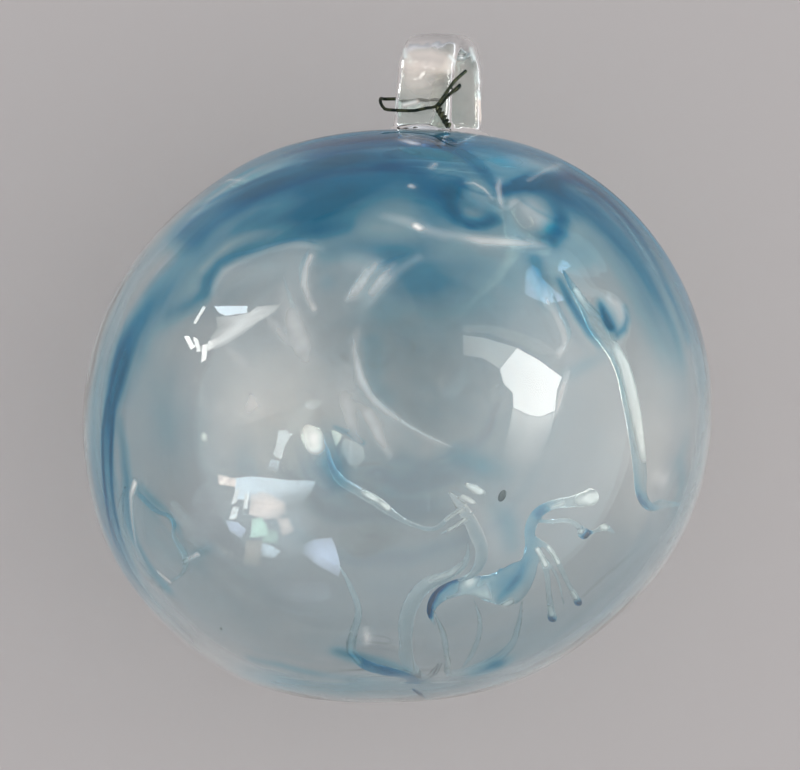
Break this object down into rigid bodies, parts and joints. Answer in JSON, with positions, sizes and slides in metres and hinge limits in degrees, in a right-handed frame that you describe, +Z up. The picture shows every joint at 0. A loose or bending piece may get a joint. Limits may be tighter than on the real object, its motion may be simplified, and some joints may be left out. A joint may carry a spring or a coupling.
{
  "type": "hanging glass ball",
  "caption": "Hand-blown globe of pale blue glass with dimpled, streaked walls, an applied clear glass hanging loop and a twist of thin dark wire through the loop.",
  "frame": {"origin": "middle of the small resting flat under the globe, which lies on its side", "axes": "+Z up from the flat through the globe's centre; +Y level, from the globe's centre through the middle of the loop's foot; +X level, to the right of the loop seen from above with the loop away from the viewer"},
  "size_m": [0.1016, 0.1094, 0.1013],
  "materials": {
    "blue_glass": "fire-polished clear glass, streaked and shaded with blue",
    "clear_glass": "fire-polished clear glass",
    "dark_wire": "dark, dulled wire"
  },
  "bodies": {
    "root": {"glass_globe": "blue_glass", "hanging_loop": "clear_glass", "hanging_wire": "dark_wire"}
  },
  "joints": []
}
